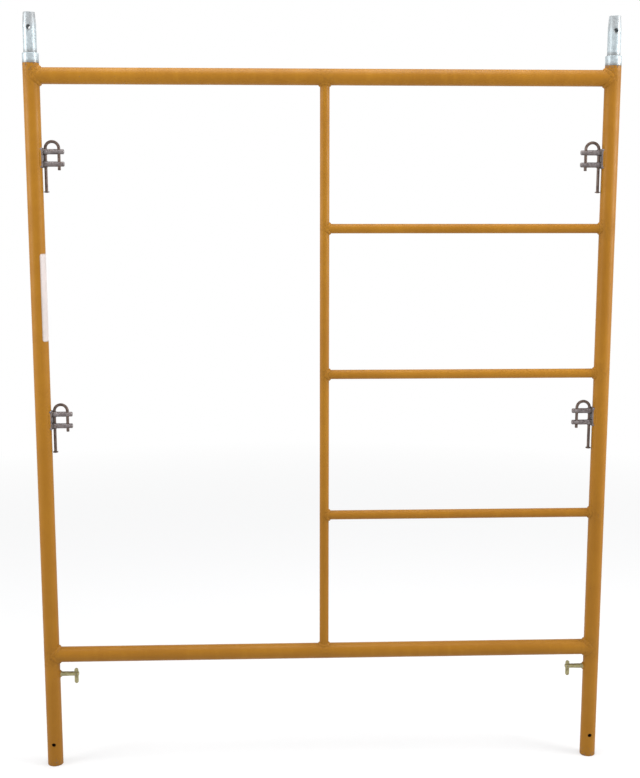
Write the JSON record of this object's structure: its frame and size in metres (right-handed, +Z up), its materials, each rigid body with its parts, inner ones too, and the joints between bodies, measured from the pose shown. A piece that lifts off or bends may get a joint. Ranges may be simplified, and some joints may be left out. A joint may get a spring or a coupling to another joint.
{
  "type": "frame scaffold section",
  "caption": "Welded tube frame scaffold section with a half-width ladder, an open bay, cane-type gravity brace locks, toggle studs and lift-out coupling pins.",
  "frame": {"origin": "on the ground, midway between the two legs", "axes": "+X across the frame from the open bay to the ladder side, +Y through the frame away from its labelled face, +Z up along the legs"},
  "size_m": [1.567, 0.0492, 2.0574],
  "materials": {
    "ochre_paint": "dip-coated ochre yellow enamel, satin, lightly worn",
    "galvanised_steel": "bright galvanised, faint spangle",
    "zinc_plated_steel": "dull zinc plate with handling wear",
    "label_film": "blank white film"
  },
  "bodies": {
    "frame": {"left_leg": "ochre_paint", "right_leg": "ochre_paint", "header_bar": "ochre_paint", "bottom_bar": "ochre_paint", "centre_post": "ochre_paint", "upper_rung": "ochre_paint", "middle_rung": "ochre_paint", "lower_rung": "ochre_paint", "header_welds": "ochre_paint", "bottom_bar_welds": "ochre_paint", "centre_post_welds": "ochre_paint", "rung_welds": "ochre_paint", "lock_plate_welds": "ochre_paint", "base_stud_welds": "ochre_paint", "left_base_stud": "zinc_plated_steel", "right_base_stud": "zinc_plated_steel", "left_toggle_pin": "zinc_plated_steel", "right_toggle_pin": "zinc_plated_steel", "blank_label": "label_film", "upper_left_lock_plate": "zinc_plated_steel", "upper_left_brace_studs": "zinc_plated_steel", "upper_right_lock_plate": "zinc_plated_steel", "upper_right_brace_studs": "zinc_plated_steel", "lower_left_lock_plate": "zinc_plated_steel", "lower_left_brace_studs": "zinc_plated_steel", "lower_right_lock_plate": "zinc_plated_steel", "lower_right_brace_studs": "zinc_plated_steel"},
    "upper_left_cane": {"upper_left_lock_cane": "zinc_plated_steel", "upper_left_cane_stop": "zinc_plated_steel"},
    "upper_right_cane": {"upper_right_lock_cane": "zinc_plated_steel", "upper_right_cane_stop": "zinc_plated_steel"},
    "lower_left_cane": {"lower_left_lock_cane": "zinc_plated_steel", "lower_left_cane_stop": "zinc_plated_steel"},
    "lower_right_cane": {"lower_right_lock_cane": "zinc_plated_steel", "lower_right_cane_stop": "zinc_plated_steel"},
    "left_base_toggle": {"left_toggle": "zinc_plated_steel"},
    "right_base_toggle": {"right_toggle": "zinc_plated_steel"},
    "left_stacking_pin": {"left_coupling_pin": "galvanised_steel", "left_coupling_collar": "galvanised_steel"},
    "right_stacking_pin": {"right_coupling_pin": "galvanised_steel", "right_coupling_collar": "galvanised_steel"}
  },
  "joints": [
    {"name": "upper_left_cane_lift", "type": "slide", "parent": "frame", "child": "upper_left_cane", "axis": [0, 0, 1], "range_m": [0, 0.06]},
    {"name": "upper_right_cane_lift", "type": "slide", "parent": "frame", "child": "upper_right_cane", "axis": [0, 0, 1], "range_m": [0, 0.06]},
    {"name": "lower_left_cane_lift", "type": "slide", "parent": "frame", "child": "lower_left_cane", "axis": [0, 0, 1], "range_m": [0, 0.06]},
    {"name": "lower_right_cane_lift", "type": "slide", "parent": "frame", "child": "lower_right_cane", "axis": [0, 0, 1], "range_m": [0, 0.06]},
    {"name": "left_toggle_swing", "type": "hinge", "parent": "frame", "child": "left_base_toggle", "pos_m": [-0.69555, 0, 0.2667], "axis": [0, -1, 0], "range_deg": [-50, 230]},
    {"name": "right_toggle_swing", "type": "hinge", "parent": "frame", "child": "right_base_toggle", "pos_m": [0.69555, 0, 0.2667], "axis": [0, 1, 0], "range_deg": [-50, 230]},
    {"name": "left_coupling_pin_lift", "type": "slide", "parent": "frame", "child": "left_stacking_pin", "axis": [0, 0, 1], "range_m": [0, 0.1016]},
    {"name": "right_coupling_pin_lift", "type": "slide", "parent": "frame", "child": "right_stacking_pin", "axis": [0, 0, 1], "range_m": [0, 0.1016]}
  ]
}
